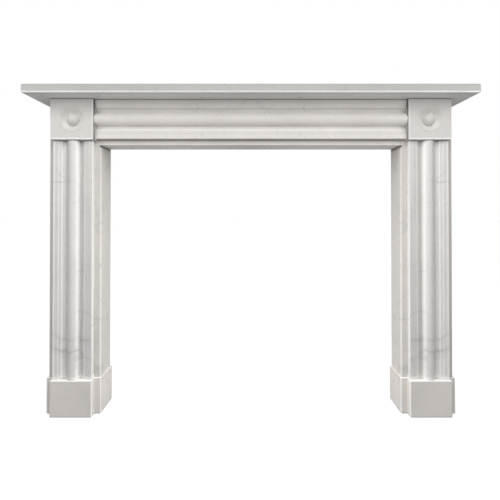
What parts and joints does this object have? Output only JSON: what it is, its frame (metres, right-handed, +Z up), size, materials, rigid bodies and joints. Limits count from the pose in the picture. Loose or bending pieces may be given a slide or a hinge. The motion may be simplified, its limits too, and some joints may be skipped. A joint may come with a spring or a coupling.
{
  "type": "marble fireplace surround",
  "caption": "Slab-built white marble fireplace surround with moulded legs and frieze, bullseye corner blocks, stepped feet and a plain shelf.",
  "frame": {"origin": "on the floor, midway across the surround and midway through the shelf's depth", "axes": "+X to the viewer's right along the shelf, +Y from the moulded front towards the wall, +Z up"},
  "size_m": [1.53, 0.19, 1.1401],
  "materials": {
    "marble": "polished, pale grey-white with faint grey veins"
  },
  "bodies": {
    "root": {"shelf": "marble", "frieze": "marble", "soffit_slab": "marble", "corner_block_left": "marble", "pilaster_left": "marble", "inner_return_left": "marble", "outer_return_left": "marble", "foot_left": "marble", "corner_block_right": "marble", "pilaster_right": "marble", "inner_return_right": "marble", "outer_return_right": "marble", "foot_right": "marble"}
  },
  "joints": []
}
